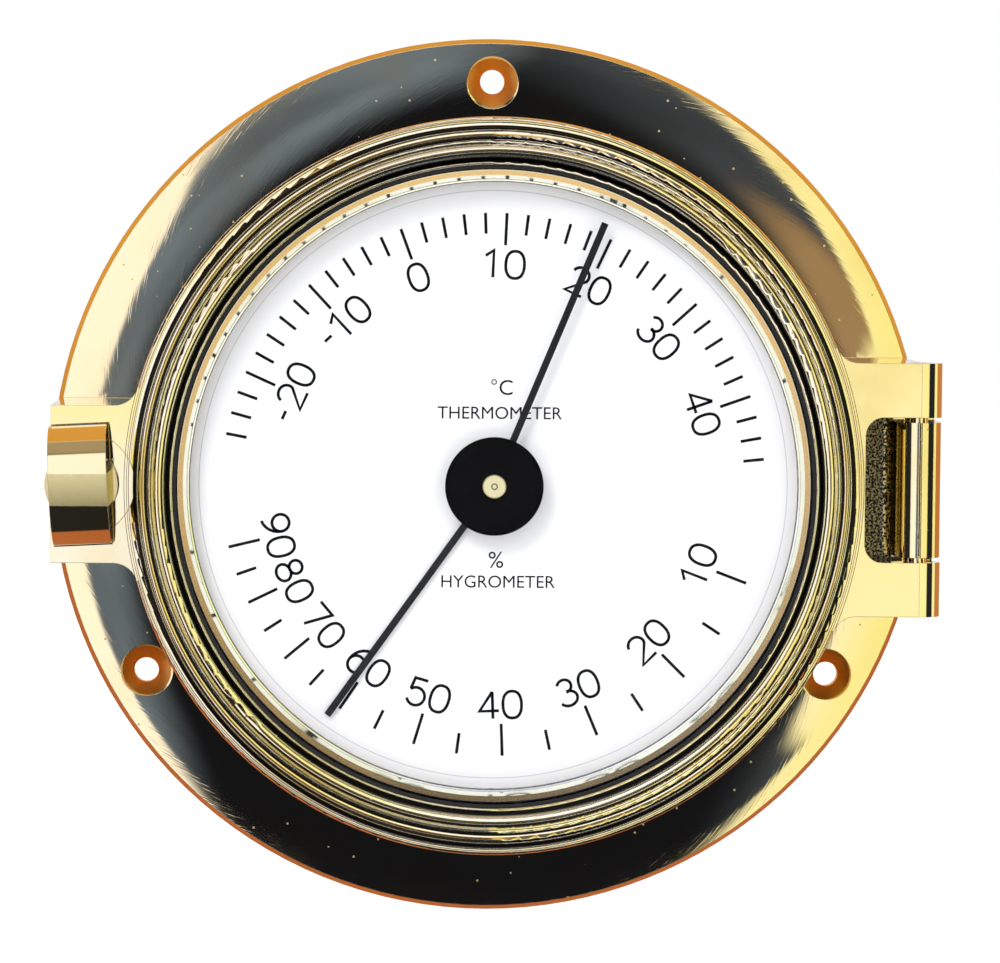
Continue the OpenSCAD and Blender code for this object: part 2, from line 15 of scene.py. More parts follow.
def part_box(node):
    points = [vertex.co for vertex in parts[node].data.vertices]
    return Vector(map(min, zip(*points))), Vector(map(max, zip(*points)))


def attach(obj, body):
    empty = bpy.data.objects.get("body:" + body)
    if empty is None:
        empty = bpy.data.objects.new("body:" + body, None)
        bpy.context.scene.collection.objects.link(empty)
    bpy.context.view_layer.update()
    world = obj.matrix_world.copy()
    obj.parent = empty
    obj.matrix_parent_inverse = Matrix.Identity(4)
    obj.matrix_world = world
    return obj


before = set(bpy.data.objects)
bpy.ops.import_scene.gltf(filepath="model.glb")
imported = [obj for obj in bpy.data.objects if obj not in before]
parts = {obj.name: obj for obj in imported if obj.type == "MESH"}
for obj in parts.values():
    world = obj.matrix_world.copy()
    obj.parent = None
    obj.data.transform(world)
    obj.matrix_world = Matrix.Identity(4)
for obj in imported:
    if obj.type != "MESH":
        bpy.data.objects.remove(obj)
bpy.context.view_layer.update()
mm = 0.001

# %% [markdown]
# ## Measures taken from the parts
# Each later piece is placed by what it sits on. A part's box gives the heights: the front faces -Y,
# so the lowest y is the part's front. The numbers could be typed in, but reading them keeps the
# dial's print on the dial if the design changes. What no box gives, such as the bezel's wall, is
# named here once.

# %% Read the measures
def front_of(part):
    """How far a part's front is from the wall."""
    return -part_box(part)[0].y


bezel_wall = 5.6 * mm
knuckle_wall = 2.2 * mm
gasket_t = 0.3 * mm
screw_inset = 7.3 * mm
countersink_r = 4.4 * mm

dial_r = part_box("dial_plate")[1].x
dial_front = front_of("dial_plate")
flange_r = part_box("case_body")[1].z
hub_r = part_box("hub_cover_disc")[1].x
bezel_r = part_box("glass_gasket")[1].x + bezel_wall
knuckle_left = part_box("hinge_pin")[0].x - knuckle_wall
case_front = front_of("case_gasket") - gasket_t
screw_circle_r = flange_r - screw_inset
print(f"radii: dial {dial_r / mm:.1f} mm, hub {hub_r / mm:.1f} mm, bezel {bezel_r / mm:.1f} mm")
print(f"the dial's face is {dial_front / mm:.1f} mm from the wall")

# %% [markdown]
# ## The camera
# A long lens from the front flattens the rings, as a catalogue picture does, where a short lens
# close by would show their inner walls. The camera stands a little left of the dial's axis and
# above it. Its lens is found from the distance, the sensor and the width to be taken in.

# %% Place the camera
scene = bpy.context.scene
camera_at = Vector((-24.0, -812.8, 42.5)) * mm
aim_at = Vector((1.9, -4.8, -0.8)) * mm
picture_w = 171.8 * mm
camera_roll = math.radians(0.55)

camera = bpy.data.objects.new("camera", bpy.data.cameras.new("camera"))
scene.collection.objects.link(camera)
scene.camera = camera
camera.data.sensor_width = 36
camera.data.lens = camera.data.sensor_width * (aim_at - camera_at).length / picture_w
camera.data.clip_start = 0.02
camera.location = camera_at
camera.rotation_mode = "QUATERNION"
aim = (aim_at - camera_at).to_track_quat("-Z", "Y")
camera.rotation_quaternion = aim @ Quaternion((0, 0, 1), camera_roll)
print(f"lens {camera.data.lens:.1f} mm at {(aim_at - camera_at).length:.3f} m")

# %% [markdown]
# ## Small helpers for shader nodes
# A shader is a graph. It could be wired by hand in the editor, but a few helpers that make a node in
# one call, do arithmetic, blend colours, and make or place a node group let each material below
# read as a short recipe.

# %% Node helpers
def add(tree, kind, inputs=None, **settings):
    """A shader node. An input is given a value, or another node's output to link."""
    made = tree.nodes.new("ShaderNode" + kind)
    for name, value in settings.items():
        setattr(made, name, value)
    for name, value in (inputs or {}).items():
        if isinstance(value, bpy.types.NodeSocket):
            tree.links.new(value, made.inputs[name])
        else:
            made.inputs[name].default_value = value
    return made


def maths(tree, operation, *values):
    """One step of arithmetic on numbers or sockets."""
    return add(tree, "Math", dict(enumerate(values)), operation=operation).outputs[0]


def ramp(tree, value, low, high, to_low=0.0, to_high=1.0):
    """Eases a value from to_low to to_high while it goes from low to high."""
    inputs = {"Value": value, "From Min": low, "From Max": high, "To Min": to_low, "To Max": to_high}
    return add(tree, "MapRange", inputs, interpolation_type="SMOOTHSTEP").outputs["Result"]


def blend_colours(tree, share, first, second):
    """first where share is 0, second where it is 1."""
    made = add(tree, "Mix", data_type="RGBA")
    for socket, value in ((made.inputs[0], share), (made.inputs[6], first), (made.inputs[7], second)):
        if isinstance(value, bpy.types.NodeSocket):
            tree.links.new(value, socket)
        else:
            socket.default_value = value
    return made.outputs[2]


def new_group(name, inputs, outputs):
    """An empty node group with number sockets, and its input and output nodes."""
    group = bpy.data.node_groups.new(name, "ShaderNodeTree")
    for label, value in inputs.items():
        socket = group.interface.new_socket(label, in_out="INPUT", socket_type="NodeSocketFloat")
        socket.default_value = value
    for label in outputs:
        group.interface.new_socket(label, in_out="OUTPUT", socket_type="NodeSocketFloat")
    return group, group.nodes.new("NodeGroupInput"), group.nodes.new("NodeGroupOutput")


def use_group(tree, group, **values):
    """Places a group in a material, with its own values."""
    made = tree.nodes.new("ShaderNodeGroup")
    made.node_tree = group
    for label, value in values.items():
        made.inputs[label.replace("_", " ").capitalize()].default_value = value
    return made


print("node helpers ready")

# %% [markdown]
# ## The studio
# Polished metal shows the room more than itself, so the room is drawn first. It could be built
# from many lamps and cards, but a sky shader that asks which way a ray leaves is quicker and has no
# noise. The directions in front of the object become two tangents, across and upward, so that a
# shape can be given by its angles from the dial's axis.

# %% The directions that rays leave in
world = bpy.data.worlds.new("studio")
scene.world = world
world.use_nodes = True
sky = world.node_tree
sky.nodes.clear()
ray = add(sky, "TexCoord").outputs["Generated"]
ray_axes = add(sky, "SeparateXYZ", {0: ray}).outputs
least_forward = 0.02
forward = maths(sky, "MAXIMUM", maths(sky, "MULTIPLY", ray_axes["Y"], -1.0), least_forward)
across = maths(sky, "DIVIDE", ray_axes["X"], forward)
upward = maths(sky, "DIVIDE", ray_axes["Z"], forward)
wobble = add(sky, "TexNoise", {"Vector": ray, "Scale": 7.0, "Detail": 2.0}).outputs["Fac"]


def slope(degrees):
    """The tangent of an angle in degrees."""
    return math.tan(math.radians(degrees))


def oval(centre, half_sizes, inner, outer, power=2.0):
    """1 inside an oval in front of the object, 0 outside it. Its sizes are in degrees."""
    terms = []
    for value, middle, half in zip((across, upward), centre, half_sizes):
        away = maths(sky, "ABSOLUTE", maths(sky, "SUBTRACT", value, slope(middle)))
        terms.append(maths(sky, "POWER", maths(sky, "DIVIDE", away, slope(half)), power))
    return ramp(sky, maths(sky, "ADD", *terms), inner, outer, 1, 0)


print("ray directions ready")

# %% [markdown]
# ### The dark room and the card
# The object faces the unlit part of the studio, where the camera stands, and the flange mirrors it
# as a broad dark band. Real black walls could do that, but an oval with a soft edge is enough. Two
# bites are taken from its sides, where the white cloth comes further round. It is hazy blue at the
# upper left and nearly black below. A pale card with a hole for the lens hangs in the middle: the flat
# lugs and the countersinks mirror the card, and the pane mirrors only the hole.

# %% The dark room and the card
black_room = (0.008, 0.009, 0.018, 1)
haze = (0.170, 0.240, 0.480, 1)
warm_edge = (0.95, 0.62, 0.30, 1)
cream_card = (1.10, 1.14, 1.45, 1)
yellow_card = (1.12, 1.09, 0.82, 1)
lens_at = (1.8, -3.2)
card_half = (6.4, 4.7)
lens_half = (3.9, 3.9)

room_shape = oval((1.2, -4.0), (19.0, 26.0), 0.80, 0.92, power=2.2)
left_bite = oval((-18.0, 5.5), (6.8, 10.0), 0.8, 1.12)
right_bite = oval((20.0, -7.0), (8.5, 10.0), 0.8, 1.2)
room_shape = maths(sky, "SUBTRACT", room_shape, left_bite)
room_shape = maths(sky, "SUBTRACT", room_shape, right_bite)
room_shape = maths(sky, "MAXIMUM", room_shape, 0.0)
to_left = maths(sky, "SUBTRACT", maths(sky, "MULTIPLY", upward, 0.45), across)
to_right = maths(sky, "ADD", maths(sky, "MULTIPLY", upward, 0.3), across)
hazy = ramp(sky, to_left, slope(2.5), slope(8.5))
hazy = maths(sky, "MAXIMUM", hazy, ramp(sky, to_right, slope(5), slope(14), 0.0, 0.35))
hazy = maths(sky, "MULTIPLY", hazy, ramp(sky, wobble, 0.25, 0.65, 0.6, 1.0))
room = blend_colours(sky, hazy, black_room, haze)
warm = oval((15.0, 3.0), (7.0, 5.0), 0.2, 1.3)
room = blend_colours(sky, maths(sky, "MULTIPLY", warm, 0.35), room, warm_edge)
yellower = maths(sky, "MAXIMUM", ramp(sky, across, slope(-3), slope(7)),
                 ramp(sky, upward, slope(-3.2), slope(-2.2)))
card_light = blend_colours(sky, yellower, cream_card, yellow_card)
room = blend_colours(sky, oval(lens_at, card_half, 0.85, 1.15), room, card_light)
room = blend_colours(sky, oval(lens_at, lens_half, 0.7, 1.3), room, black_room)
print("dark room and card ready")

# %% [markdown]
# ### The tent, its gaps and the wall
# A white tent stands round the dark part, cooler on the left and warmer on the right. It could be
# modelled as sheets, but only their edges show, as thin lines in the turned rings, so bands across
# the directions do the same. The gaps between the sheets are dark. Behind the object's own plane
# an orange and brown wall colours the rims, and the far end of the room is pale.

# %% The tent, its gaps and the wall
white_cloth = (1.22, 1.24, 1.62, 1)
warm_cloth = (1.06, 1.08, 0.64, 1)
gap_light = (0.020, 0.022, 0.03, 1)
tan_cloth = (0.42, 0.36, 0.30, 1)
orange_wall = (0.75, 0.40, 0.11, 1)
brown_wall = (0.50, 0.17, 0.08, 1)
far_end = (0.80, 0.80, 0.82, 1)

height = ray_axes["Z"]
rising = maths(sky, "MAXIMUM", height, 0.0)
lean_by = 0.31
tent_light = blend_colours(sky, ramp(sky, ray_axes["X"], 0.05, 0.40), white_cloth, warm_cloth)
lean = maths(sky, "SUBTRACT", ray_axes["Y"], maths(sky, "MULTIPLY", rising, lean_by))
seams = ramp(sky, lean, -0.74, -0.69)
seams = maths(sky, "MULTIPLY", seams, ramp(sky, lean, -0.25, -0.18, 1, 0))
seam_light = blend_colours(sky, ramp(sky, height, 0.86, 0.94), gap_light, tan_cloth)
tent = blend_colours(sky, seams, tent_light, seam_light)
tent = blend_colours(sky, ramp(sky, height, -0.47, -0.54), tent, gap_light)
wall = blend_colours(sky, ramp(sky, height, -0.3, 0.4), brown_wall, orange_wall)
tent = blend_colours(sky, ramp(sky, ray_axes["Y"], 0.06, 0.12), tent, wall)
tent = blend_colours(sky, ramp(sky, ray_axes["Y"], 0.80, 0.95), tent, far_end)
room = blend_colours(sky, room_shape, tent, room)
print("tent, gaps and wall ready")

# %% [markdown]
# ### Who sees which light
# The room is there for the mirrors. Paint and enamel scatter light from all round, so they get one
# even white light, which keeps the dial clean, and the camera itself sees a plain white backdrop.
# The object could be lit three times and the results put together, but the light path tells the
# three cases apart in one pass.

# %% Who sees which light
backdrop = (1.0, 1.0, 1.0, 1)
even_light = (1.24, 1.24, 1.245, 1)
path = add(sky, "LightPath").outputs
matt = ramp(sky, path["Diffuse Depth"], 0.4, 0.6)
seen = blend_colours(sky, matt, room, even_light)
seen = blend_colours(sky, path["Is Camera Ray"], seen, backdrop)
light = add(sky, "Background", {"Color": seen, "Strength": 1.0})
add(sky, "OutputWorld", {"Surface": light.outputs[0]})
scene.view_settings.view_transform = "Standard"
print("studio light ready")

# %% [markdown]
# ## The lamp and the floor
# One soft lamp at the upper left gives the pointers their faint shadow on the dial. It is hidden
# from mirror reflections, because the tent already gives those. A sun could throw the same shadow,
# but a square lamp near the object softens its edge. The floor is a wide plane below the object.

# %% Lamp and floor
def soft_lamp(name, place, size, power):
    """A square lamp that looks at the dial."""
    data = bpy.data.lights.new(name, "AREA")
    data.size = size
    data.energy = power
    lamp = bpy.data.objects.new(name, data)
    scene.collection.objects.link(lamp)
    lamp.location = Vector(place)
    lamp.rotation_euler = (-lamp.location).to_track_quat("-Z", "Y").to_euler()
    lamp.visible_glossy = False


lamp_at = (-0.45, -0.95, 0.75)
lamp_size = 0.30
lamp_power = 2.2
soft_lamp("key_lamp", lamp_at, lamp_size, lamp_power)

floor_gap = 30 * mm
floor_z = -flange_r - floor_gap
floor_half = 3.0
floor_mesh = bpy.data.meshes.new("floor")
floor_corners = [(-floor_half, -floor_half), (floor_half, -floor_half),
                 (floor_half, floor_half), (-floor_half, floor_half)]
floor_mesh.from_pydata([(x, y, floor_z) for x, y in floor_corners], [], [(0, 1, 2, 3)])
floor = bpy.data.objects.new("floor", floor_mesh)
scene.collection.objects.link(floor)
floor.visible_glossy = False
floor_white = (0.97, 0.97, 0.97, 1)
paint = bpy.data.materials.new("floor_paint")
paint.use_nodes = True
floor_shader = paint.node_tree.nodes["Principled BSDF"]
floor_shader.inputs["Base Color"].default_value = floor_white
floor_shader.inputs["Roughness"].default_value = 0.9
floor_mesh.materials.append(paint)
print(f"floor {-floor_z / mm:.0f} mm below the dial's axis")

# %% [markdown]
# ## Effects that several finishes share
# A polished casting is never perfect: a cloth wheel leaves fine scratches round it, dust settles on
# it, and the brass darkens in soft patches. Painted pictures could show that, but a node group needs
# no unwrapping, and every material below can use it at its own scale. The scratches are a noise
# that is stretched along circles about the dial's axis.

# %% Polishing scratches
arc_length_r = 66 * mm
scratches, group_in, group_out = new_group(
    "polishing_scratches", {"Scale": 3000.0, "Stretch": 30.0, "Tilt": 0.35, "Share": 0.5}, ["Height"])
spot = add(scratches, "SeparateXYZ", {0: add(scratches, "TexCoord").outputs["Object"]}).outputs
squares = [maths(scratches, "MULTIPLY", spot[axis], spot[axis]) for axis in ("X", "Z")]
reach = maths(scratches, "SQRT", maths(scratches, "ADD", *squares))
turned_by = maths(scratches, "ARCTAN2", spot["Z"], spot["X"])
round_by = maths(scratches, "MULTIPLY", turned_by, arc_length_r)
tilted = maths(scratches, "MULTIPLY", round_by, group_in.outputs["Tilt"])
across_line = maths(scratches, "ADD", reach, tilted)
along_line = maths(scratches, "DIVIDE", round_by, group_in.outputs["Stretch"])
drawn = add(scratches, "CombineXYZ", {"X": across_line, "Y": along_line, "Z": spot["Y"]}).outputs[0]
lines = add(scratches, "TexNoise", {
    "Vector": drawn, "Scale": group_in.outputs["Scale"], "Detail": 2.0})
sharp = ramp(scratches, lines.outputs["Fac"], group_in.outputs["Share"], 0.8)
scratches.links.new(sharp, group_out.inputs["Height"])
print("scratches:", len(scratches.nodes), "nodes")

# %% [markdown]
# ### Soft patches and dust
# Handled brass darkens in soft clouds, and a few grains of dust lie on it. The clouds are a plain
# noise. The grains are the middles of some cells of a cell pattern, and a share says how many.

# %% Soft patches and dust
patches, group_in, group_out = new_group(
    "soft_patches", {"Scale": 60.0, "Low": 0.4, "High": 0.7, "Detail": 3.0}, ["Mask"])
spot = add(patches, "TexCoord").outputs["Object"]
cloud = add(patches, "TexNoise", {
    "Vector": spot, "Scale": group_in.outputs["Scale"], "Detail": group_in.outputs["Detail"]})
mask = ramp(patches, cloud.outputs["Fac"], group_in.outputs["Low"], group_in.outputs["High"])
patches.links.new(mask, group_out.inputs["Mask"])

dust, group_in, group_out = new_group("dust", {"Scale": 900.0, "Size": 0.16, "Share": 0.2}, ["Mask"])
spot = add(dust, "TexCoord").outputs["Object"]
cells = add(dust, "TexVoronoi", {"Vector": spot, "Scale": group_in.outputs["Scale"]})
kept = add(dust, "SeparateColor", {0: cells.outputs["Color"]}).outputs[0]
kept = maths(dust, "LESS_THAN", kept, group_in.outputs["Share"])
edge = maths(dust, "MULTIPLY", group_in.outputs["Size"], 0.6)
grain = ramp(dust, cells.outputs["Distance"], group_in.outputs["Size"], edge)
dust.links.new(maths(dust, "MULTIPLY", grain, kept), group_out.inputs["Mask"])
print("patches and dust ready")

# %% [markdown]
# ### Rings about the dial's axis
# Some finishes get thin rings of colour about the dial's axis. On the front ring most are painted
# shade in the grooves and painted reflection on the rounds, and on the dial one is a painted
# shadow line. A map of hollows could find the grooves, but they are rings about the dial's axis,
# so a distance from the axis is enough.

# %% Rings about the axis, for painted shade and tints
grooves, group_in, group_out = new_group(
    "axis_ring_band", {"Radius": 59.5 * mm, "Width": 0.7 * mm}, ["Mask"])
spot = add(grooves, "SeparateXYZ", {0: add(grooves, "TexCoord").outputs["Object"]}).outputs
squares = [maths(grooves, "MULTIPLY", spot[axis], spot[axis]) for axis in ("X", "Z")]
reach = maths(grooves, "SQRT", maths(grooves, "ADD", *squares))
away = maths(grooves, "ABSOLUTE", maths(grooves, "SUBTRACT", reach, group_in.outputs["Radius"]))
away = maths(grooves, "DIVIDE", away, maths(grooves, "MULTIPLY", group_in.outputs["Width"], 0.5))
grooves.links.new(ramp(grooves, away, 0.75, 1.1, 1, 0), group_out.inputs["Mask"])
print("groove polish ready")

# %% [markdown]
# ### Where painted shade, painted reflection and a painted sheen go
# The recess beside the hinge's knuckle gets painted shade. The countersinks are painted orange, a
# painted reflection of brass mirrored in brass, and made rougher. A band across the middle of the
# button is painted paler and made rougher, a painted sheen. Each place could be painted on an
# unwrapped part, but a mask from distances needs no unwrapping, and most of these distances come
# from the parts' own measures.

# %% Masks for painted shade, reflection and sheen
def between(tree, value, low, high, edge):
    """1 while a value is between low and high, easing to 0 over an edge."""
    rise = ramp(tree, value, low - edge, low + edge)
    return maths(tree, "MULTIPLY", rise, ramp(tree, value, high - edge, high + edge, 1, 0))


# Where the hinge pocket's mask is 1, the case gets painted shade.
pocket_half = 13 * mm
pocket_left = bezel_r - 0.3 * mm
pocket_right = knuckle_left - 0.1 * mm
pocket, _, group_out = new_group("hinge_pocket", {}, ["Mask"])
spot = add(pocket, "SeparateXYZ", {0: add(pocket, "TexCoord").outputs["Object"]}).outputs
mask = between(pocket, spot["X"], pocket_left, pocket_right, 0.15 * mm)
upright = between(pocket, spot["Z"], -pocket_half, pocket_half, 0.3 * mm)
mask = maths(pocket, "MULTIPLY", mask, upright)
depth = ramp(pocket, spot["Y"], 1.0 * mm - case_front, -case_front)
mask = maths(pocket, "MULTIPLY", mask, depth)
pocket.links.new(mask, group_out.inputs["Mask"])

# Where this mask is 1, the countersinks get a painted orange reflection.
countersinks, _, group_out = new_group("countersinks", {}, ["Mask"])
spot = add(countersinks, "TexCoord").outputs["Object"]
flat = add(countersinks, "VectorMath", {0: spot, 1: (1, 0, 1)}, operation="MULTIPLY").outputs[0]
masks = []
for degrees in (90, 210, 330):
    angle = math.radians(degrees)
    hole = (screw_circle_r * math.cos(angle), 0, screw_circle_r * math.sin(angle))
    away = add(countersinks, "VectorMath", {0: flat, 1: hole}, operation="DISTANCE").outputs["Value"]
    masks.append(ramp(countersinks, away, countersink_r, countersink_r - 0.15 * mm))
mask = maths(countersinks, "MAXIMUM", maths(countersinks, "MAXIMUM", masks[0], masks[1]), masks[2])
countersinks.links.new(mask, group_out.inputs["Mask"])

# The button's band of painted sheen lies between these heights.
sheen_low = -2.9 * mm
sheen_high = 2.3 * mm
button_sheen_band, _, group_out = new_group("button_sheen_band", {}, ["Mask"])
spot = add(button_sheen_band, "SeparateXYZ", {0: add(button_sheen_band, "TexCoord").outputs["Object"]}).outputs
mask = between(button_sheen_band, spot["Z"], sheen_low, sheen_high, 0.12 * mm)
button_sheen_band.links.new(mask, group_out.inputs["Mask"])
print("grime and wear ready")

# %% [markdown]
# ## The finishes
# The Principled shader carries each finish. Metals are metallic 1 with a tinted base colour. The
# changing colour, the roughness and the fine relief come from the groups. Sharp edges are rounded in
# the shading only: a real edge catches the light, and so small a round isn't worth a shape.

# %% Makers for finishes and relief
def finish(name, colour, roughness, metallic=0.0, **sockets):
    """A new material and its Principled shader, with values that are the same all over."""
    material = bpy.data.materials.new(name)
    material.use_nodes = True
    shader = material.node_tree.nodes["Principled BSDF"]
    values = {"Base Color": (*colour, 1), "Roughness": roughness, "Metallic": metallic}
    for label, value in sockets.items():
        values[label.replace("_", " ").title().replace("Ior", "IOR")] = value
    for label, value in values.items():
        shader.inputs[label].default_value = value
    return material, material.node_tree, shader


def bump(tree, shader, height, strength, distance, edge=0.0):
    """Lets a height tilt the surface a little. An edge in mm rounds the sharp edges as well."""
    inputs = {"Height": height, "Strength": strength, "Distance": distance}
    if edge:
        inputs["Normal"] = add(tree, "Bevel", {"Radius": edge * mm}, samples=4).outputs[0]
    tree.links.new(add(tree, "Bump", inputs).outputs[0], shader.inputs["Normal"])


print("makers ready")

# %% [markdown]
# ### Brass
# Polished brass is never one colour: it has duller patches, fine scratches and dust. Thin rings
# about the dial's axis can be laid over it: painted shade in grooves, painted reflection on rounds,
# and small marks. Each part could have its own graph, but one maker for all the brasses keeps them
# of one family, so that they differ only in their values.

# %% A maker for brass
def brass(name, clean, dull, roughness, scratch=0.03, specks=0.03, tilt=0.35, ring_tints=(), edge=0.0):
    """Polished brass: duller patches, fine scratches, dust, and rings of painted shade, painted
    reflection and marks.
    """
    material, tree, shader = finish(name, clean, roughness, metallic=1.0)
    cloudy = use_group(tree, patches, scale=45.0, low=0.42, high=0.72).outputs[0]
    grains = use_group(tree, dust, scale=700.0, size=0.17, share=specks).outputs[0]
    colour = blend_colours(tree, cloudy, (*clean, 1), (*dull, 1))
    worn = ramp(tree, cloudy, 0.0, 1.0, roughness, roughness * 1.6)
    worn = maths(tree, "ADD", worn, maths(tree, "MULTIPLY", grains, 0.5))
    # Rings about the axis: painted shade and painted reflection on the mouldings, and small marks.
    for radius, width, strength, ring_colour in ring_tints:
        band = use_group(tree, grooves, radius=radius * mm, width=width * mm).outputs[0]
        band = maths(tree, "MULTIPLY", band, strength)
        colour = blend_colours(tree, band, colour, (*ring_colour, 1))
        worn = maths(tree, "ADD", worn, maths(tree, "MULTIPLY", band, 0.2))
    lines = use_group(tree, scratches, scale=2600.0, stretch=15.0, tilt=tilt, share=0.50).outputs[0]
    bump(tree, shader, lines, scratch, 0.02 * mm, edge)
    tree.links.new(colour, shader.inputs["Base Color"])
    tree.links.new(worn, shader.inputs["Roughness"])
    return material, tree, shader, colour, worn


clean_brass = (0.93, 0.77, 0.40)
dull_brass = (0.88, 0.69, 0.32)
# Black for painted shade in grooves, gaps and the hinge recess, and for a small mark on the cap. The
# red and orange serve as painted reflection of brass in brass, and the orange also as a plain band on
# the retaining ring.
shade_and_mark_black = (0.022, 0.020, 0.017)
orange_ring_tint = (0.62, 0.36, 0.07)
red_reflection = (0.42, 0.12, 0.05)
print("brass maker ready")

# %% [markdown]
# ### The case
# The case's wide flange is the largest mirror, so it has the strongest scratches. Its hinge recess
# gets painted shade and its countersinks a painted orange reflection. Those faces could have
# materials of their own, but the masks above lay both over the same polished brass with a soft border.

# %% The case's brass
painted_countersink_orange = (1.0, 0.52, 0.12, 1)
flange_brass, tree, shader, colour, worn = brass(
    "flange_brass", clean_brass, dull_brass, 0.04, scratch=0.075, specks=0.10, edge=0.15)
# Painted shade in the hinge recess, broken up by fine flecks.
pocket_shade = use_group(tree, pocket).outputs[0]
flecks = use_group(tree, patches, scale=2600.0, low=0.42, high=0.60).outputs[0]
pocket_shade = maths(tree, "MULTIPLY", pocket_shade, ramp(tree, flecks, 0.0, 1.0, 1.0, 0.45))
colour = blend_colours(tree, pocket_shade, colour, (*shade_and_mark_black, 1))
worn = maths(tree, "ADD", worn, maths(tree, "MULTIPLY", pocket_shade, 0.35))
# Painted reflection in the countersinks: orange, as brass mirrored in brass, and rougher.
countersink_share = use_group(tree, countersinks).outputs[0]
colour = blend_colours(tree, countersink_share, colour, painted_countersink_orange)
worn = maths(tree, "ADD", worn, maths(tree, "MULTIPLY", countersink_share, 0.38))
tree.links.new(colour, shader.inputs["Base Color"])
tree.links.new(worn, shader.inputs["Roughness"])
print("case brass:", flange_brass.name)

# %% [markdown]
# ### The front's mouldings, and the small brasses
# The front ring is turned, with grooves. Its rings of colour are painted light: the black ones are
# painted shade in the grooves, and the orange and red ones are painted reflection of brass in brass on
# the rounds. Each ring has a radius and a width in millimetres, a strength and a colour. They could
# be found from the shape, but they don't lie in every groove alike, so they are listed one by one.
# The smaller pieces are the same brass with other values, and the keeper and the humidity coil are
# a redder bronze.

# %% The front's brass and the small brasses
# Black rings are painted shade in the grooves. Red and orange rings are painted reflection on the
# rounds.
moulding_shade_and_reflections = [
    (53.85, 0.85, 1.0, shade_and_mark_black), (55.35, 0.22, 0.7, orange_ring_tint), (55.85, 0.12, 0.7, red_reflection),
    (56.6, 0.16, 0.85, shade_and_mark_black), (57.35, 0.40, 1.0, shade_and_mark_black), (57.95, 0.40, 0.85, orange_ring_tint),
    (58.6, 0.22, 0.9, shade_and_mark_black), (59.2, 0.75, 1.0, shade_and_mark_black), (60.3, 0.12, 0.8, red_reflection),
    (60.62, 0.10, 0.7, red_reflection), (61.0, 0.10, 0.9, shade_and_mark_black)]

polished = brass("polished_brass", (0.95, 0.84, 0.52), clean_brass, 0.04, scratch=0.015,
                 ring_tints=moulding_shade_and_reflections, edge=0.15)[0]
turned_brass = brass("turned_brass", clean_brass, dull_brass, 0.10, tilt=0.0)[0]
cap_brass = brass("cap_brass", (0.92, 0.86, 0.54), (0.86, 0.78, 0.42), 0.30,
                  ring_tints=[(0.45, 0.25, 0.8, shade_and_mark_black)])[0]
# On the retaining ring the dark rings at 50.3 and 52.5 mm are painted shade in the gaps at its edges,
# and the ring at 51.8 mm is an orange band.
retaining_ring_bands = [(50.3, 0.3, 0.9, shade_and_mark_black), (51.8, 0.9, 0.80, orange_ring_tint), (52.5, 0.5, 1.0, shade_and_mark_black)]
ring_brass = brass("ring_brass", (0.86, 0.86, 0.72), (0.80, 0.78, 0.58), 0.07, scratch=0.03,
                   ring_tints=retaining_ring_bands)[0]
bronze = brass("spring_bronze", (0.80, 0.46, 0.24), (0.70, 0.38, 0.18), 0.22)[0]
small_brasses = (polished, turned_brass, cap_brass, ring_brass, bronze)
print("brasses:", [made.name for made in small_brasses])

# %% [markdown]
# ### The button
# The half-moon button is polished like the rest. A band across its middle is painted paler and made
# rougher, a painted sheen. A second material could cover that band, but a mask in one material gives
# a softer border.

# %% The button's brass
sheen_brass_colour = (1.0, 0.87, 0.44, 1)
button_brass, tree, shader, colour, worn = brass(
    "button_brass", clean_brass, dull_brass, 0.05, tilt=0.0, edge=0.25)
# Painted sheen: a paler, rougher band across the button's middle.
sheen_share = use_group(tree, button_sheen_band).outputs[0]
uneven = use_group(tree, patches, scale=2200.0, low=0.40, high=0.60, detail=4.0).outputs[0]
uneven = ramp(tree, uneven, 0.0, 1.0, 1.0, 0.75)
sheen_share = maths(tree, "MULTIPLY", sheen_share, uneven)
colour = blend_colours(tree, sheen_share, colour, sheen_brass_colour)
worn = maths(tree, "ADD", worn, maths(tree, "MULTIPLY", sheen_share, 0.58))
tree.links.new(colour, shader.inputs["Base Color"])
tree.links.new(worn, shader.inputs["Roughness"])
print("button brass:", button_brass.name)

# %% [markdown]
# ### Steel, rubber, plastic, paint and enamel
# These are plain finishes: a colour, a roughness and a little relief. The hub's paint is nearly
# black with some lint on it, and the enamel has a thin grey ring of painted shadow near its edge,
# where the front ring's shadow edge falls. Lint could be modelled as threads, but it is too small
# to show a shape.

# %% Steel, rubber, plastic, paint and enamel
steel, tree, shader = finish("steel", (0.60, 0.60, 0.62), 0.28, metallic=1.0)
bump(tree, shader, use_group(tree, scratches, scale=4000.0, stretch=12.0).outputs[0], 0.2, 0.02 * mm)

rubber, tree, shader = finish("black_rubber", (0.012, 0.012, 0.012), 0.6)
bump(tree, shader, use_group(tree, patches, scale=1500.0, low=0.3, high=0.7).outputs[0], 0.3, 0.05 * mm)

plastic, tree, shader = finish("black_plastic", (0.02, 0.02, 0.021), 0.42)
bump(tree, shader, use_group(tree, patches, scale=900.0, low=0.3, high=0.7).outputs[0], 0.15, 0.04 * mm)

hub_black = (0.001, 0.001, 0.0015)
lint_grey = (0.25, 0.25, 0.27, 1)
hub_paint, tree, shader = finish("hub_paint", hub_black, 0.5, specular_ior_level=0.05)
lint = use_group(tree, dust, scale=1150.0, size=0.13, share=0.04).outputs[0]
colour = blend_colours(tree, lint, (*hub_black, 1), lint_grey)
tree.links.new(colour, shader.inputs["Base Color"])
bump(tree, shader, lint, 0.4, 0.03 * mm)

